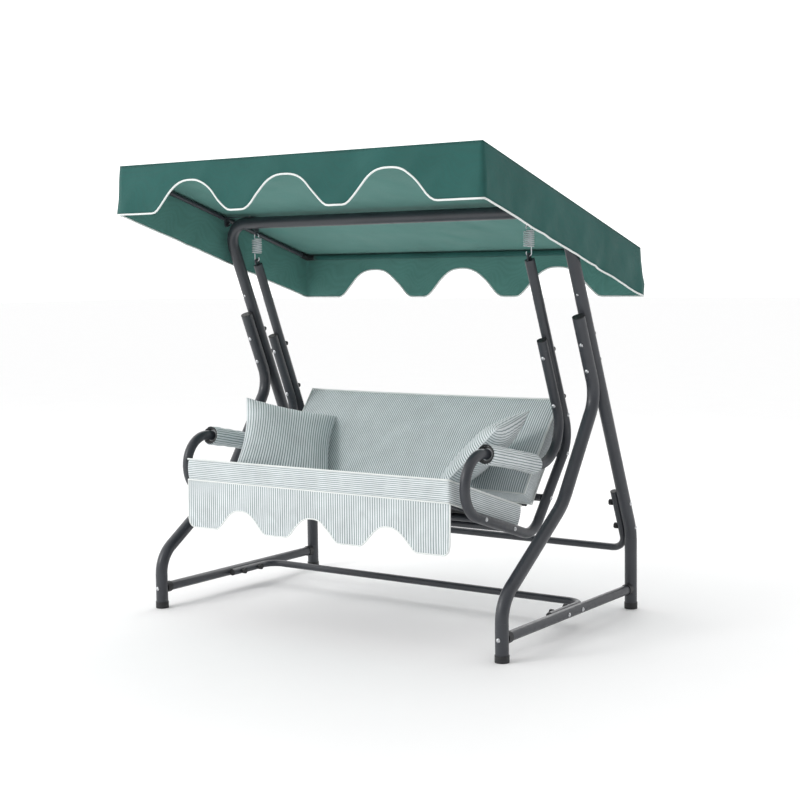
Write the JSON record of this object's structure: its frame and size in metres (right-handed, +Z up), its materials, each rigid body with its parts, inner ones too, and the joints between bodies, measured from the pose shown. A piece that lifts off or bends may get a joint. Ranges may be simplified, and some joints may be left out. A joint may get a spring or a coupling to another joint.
{
  "type": "canopy swing bench",
  "caption": "Garden swing bench hung on springs from a tubular steel stand, with cushions, skirt and pillows, under a tilting scalloped canopy.",
  "frame": {"origin": "on the ground, on the symmetry plane, midway between the canopy's front and rear edges", "axes": "+X to the right as seen from the front, +Y to the rear, +Z up"},
  "size_m": [1.6578, 1.1654, 1.7588],
  "materials": {
    "frame_paint": "satin dark slate powder coat",
    "zinc": "bright zinc plated",
    "spring_steel": "zinc plated spring wire",
    "black_plastic": "moulded, slightly textured",
    "canopy_cloth": "dark green woven polyester",
    "cushion_cloth": "grey-green and off-white woven stripe",
    "sling_cloth": "dark open-weave sling"
  },
  "bodies": {
    "stand": {"front_leg_left": "frame_paint", "front_leg_right": "frame_paint", "rear_leg_left": "frame_paint", "rear_leg_right": "frame_paint", "top_bar": "frame_paint", "side_rail_left": "frame_paint", "side_rail_right": "frame_paint", "rail_saddles": "black_plastic", "rail_inserts": "zinc", "lower_crossbar": "frame_paint", "rear_crossbar": "frame_paint", "foot_caps": "black_plastic", "tube_plugs": "black_plastic", "leg_bolts": "zinc", "leg_cap_nuts": "black_plastic", "crossbar_bolts": "zinc", "crossbar_knobs": "black_plastic", "rail_bolts": "zinc", "joint_screws": "zinc", "hanger_eyes": "frame_paint", "roof_bracket_left": "frame_paint", "roof_bracket_right": "frame_paint", "bracket_screws": "zinc", "tilt_bolts": "zinc", "tilt_lock_nuts": "black_plastic"},
    "canopy": {"canopy_side_bar_left": "frame_paint", "canopy_side_bar_right": "frame_paint", "canopy_front_bar": "frame_paint", "canopy_rear_bar": "frame_paint", "canopy_corners": "black_plastic", "canopy_cover": "canopy_cloth"},
    "springs": {"spring_left": "spring_steel", "spring_right": "spring_steel", "upper_hooks": "spring_steel"},
    "spring_ends": {"lower_hooks": "spring_steel"},
    "seat": {"hanger_left": "frame_paint", "hanger_right": "frame_paint", "arm_tube_left": "frame_paint", "arm_tube_right": "frame_paint", "arm_plugs": "black_plastic", "seat_front_tube": "frame_paint", "seat_rear_tube": "frame_paint", "back_lower_tube": "frame_paint", "back_middle_tube": "frame_paint", "seat_frame": "frame_paint", "seat_sling": "sling_cloth", "back_sling": "sling_cloth", "cross_bolts": "zinc", "arm_bolts": "zinc", "arm_cap_nuts": "black_plastic", "arm_pad_left": "cushion_cloth", "arm_pad_right": "cushion_cloth", "seat_cushion": "cushion_cloth", "back_cushion": "cushion_cloth", "seat_skirt": "cushion_cloth", "pillow_left": "cushion_cloth", "pillow_right": "cushion_cloth"}
  },
  "joints": [
    {"name": "canopy_tilt", "type": "hinge", "parent": "stand", "child": "canopy", "pos_m": [0, 0.00557, 1.545], "axis": [1, 0, 0], "range_deg": [-12, 16]},
    {"name": "swing", "type": "hinge", "parent": "stand", "child": "springs", "pos_m": [0, 0.021, 1.505], "axis": [1, 0, 0], "range_deg": [-16, 16]},
    {"name": "bounce", "type": "slide", "parent": "springs", "child": "spring_ends", "axis": [0, 0, -1], "range_m": [-0.008, 0.03], "stiffness_N_per_m": 16000, "springref_m": -0.02, "deforming": ["spring_left", "spring_right"]},
    {"name": "seat_pitch", "type": "hinge", "parent": "spring_ends", "child": "seat", "pos_m": [0, 0.021, 1.385], "axis": [1, 0, 0], "range_deg": [-8, 8]}
  ]
}
